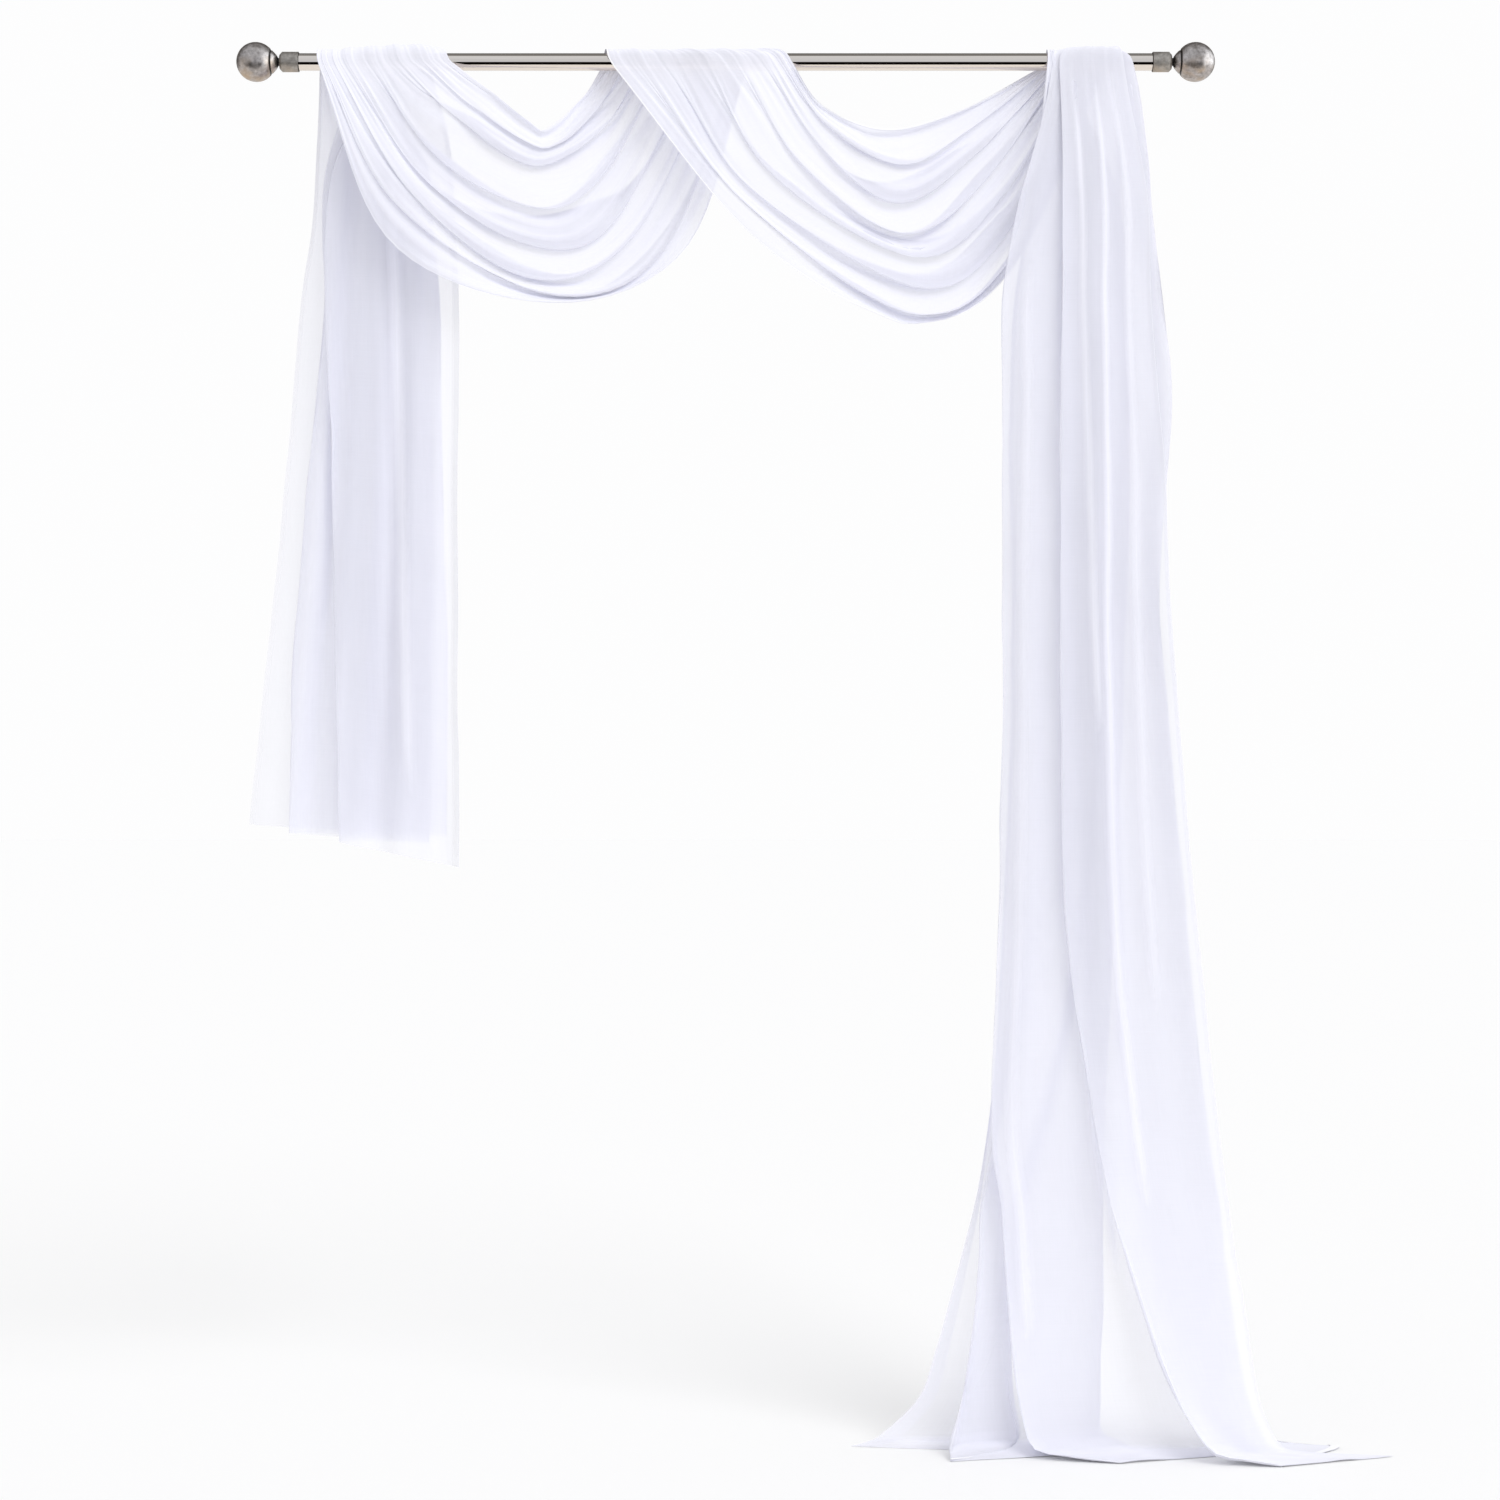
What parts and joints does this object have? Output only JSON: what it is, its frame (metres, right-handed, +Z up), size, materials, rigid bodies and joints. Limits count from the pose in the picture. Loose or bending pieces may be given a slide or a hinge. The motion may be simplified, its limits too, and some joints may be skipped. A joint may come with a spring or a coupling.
{
  "type": "sheer scarf valance wound on a curtain rod",
  "caption": "Long sheer scarf wound over a curtain rod in soft swags, with a short tail behind it, a floor-length tail in front and ball finials.",
  "frame": {"origin": "on the rod's axis, midway between the ball finials", "axes": "+X along the rod to the right as seen from the room, +Y towards the wall behind the rod, +Z up"},
  "size_m": [1.7117, 0.2694, 2.0929],
  "materials": {
    "white_voile": "sheer, soft",
    "brushed_nickel": "satin",
    "antique_pewter": "aged satin"
  },
  "bodies": {
    "root": {"scarf": "white_voile", "rod": "brushed_nickel", "end_cap_left": "antique_pewter", "end_cap_right": "antique_pewter", "finial_left": "antique_pewter", "finial_right": "antique_pewter"}
  },
  "joints": []
}
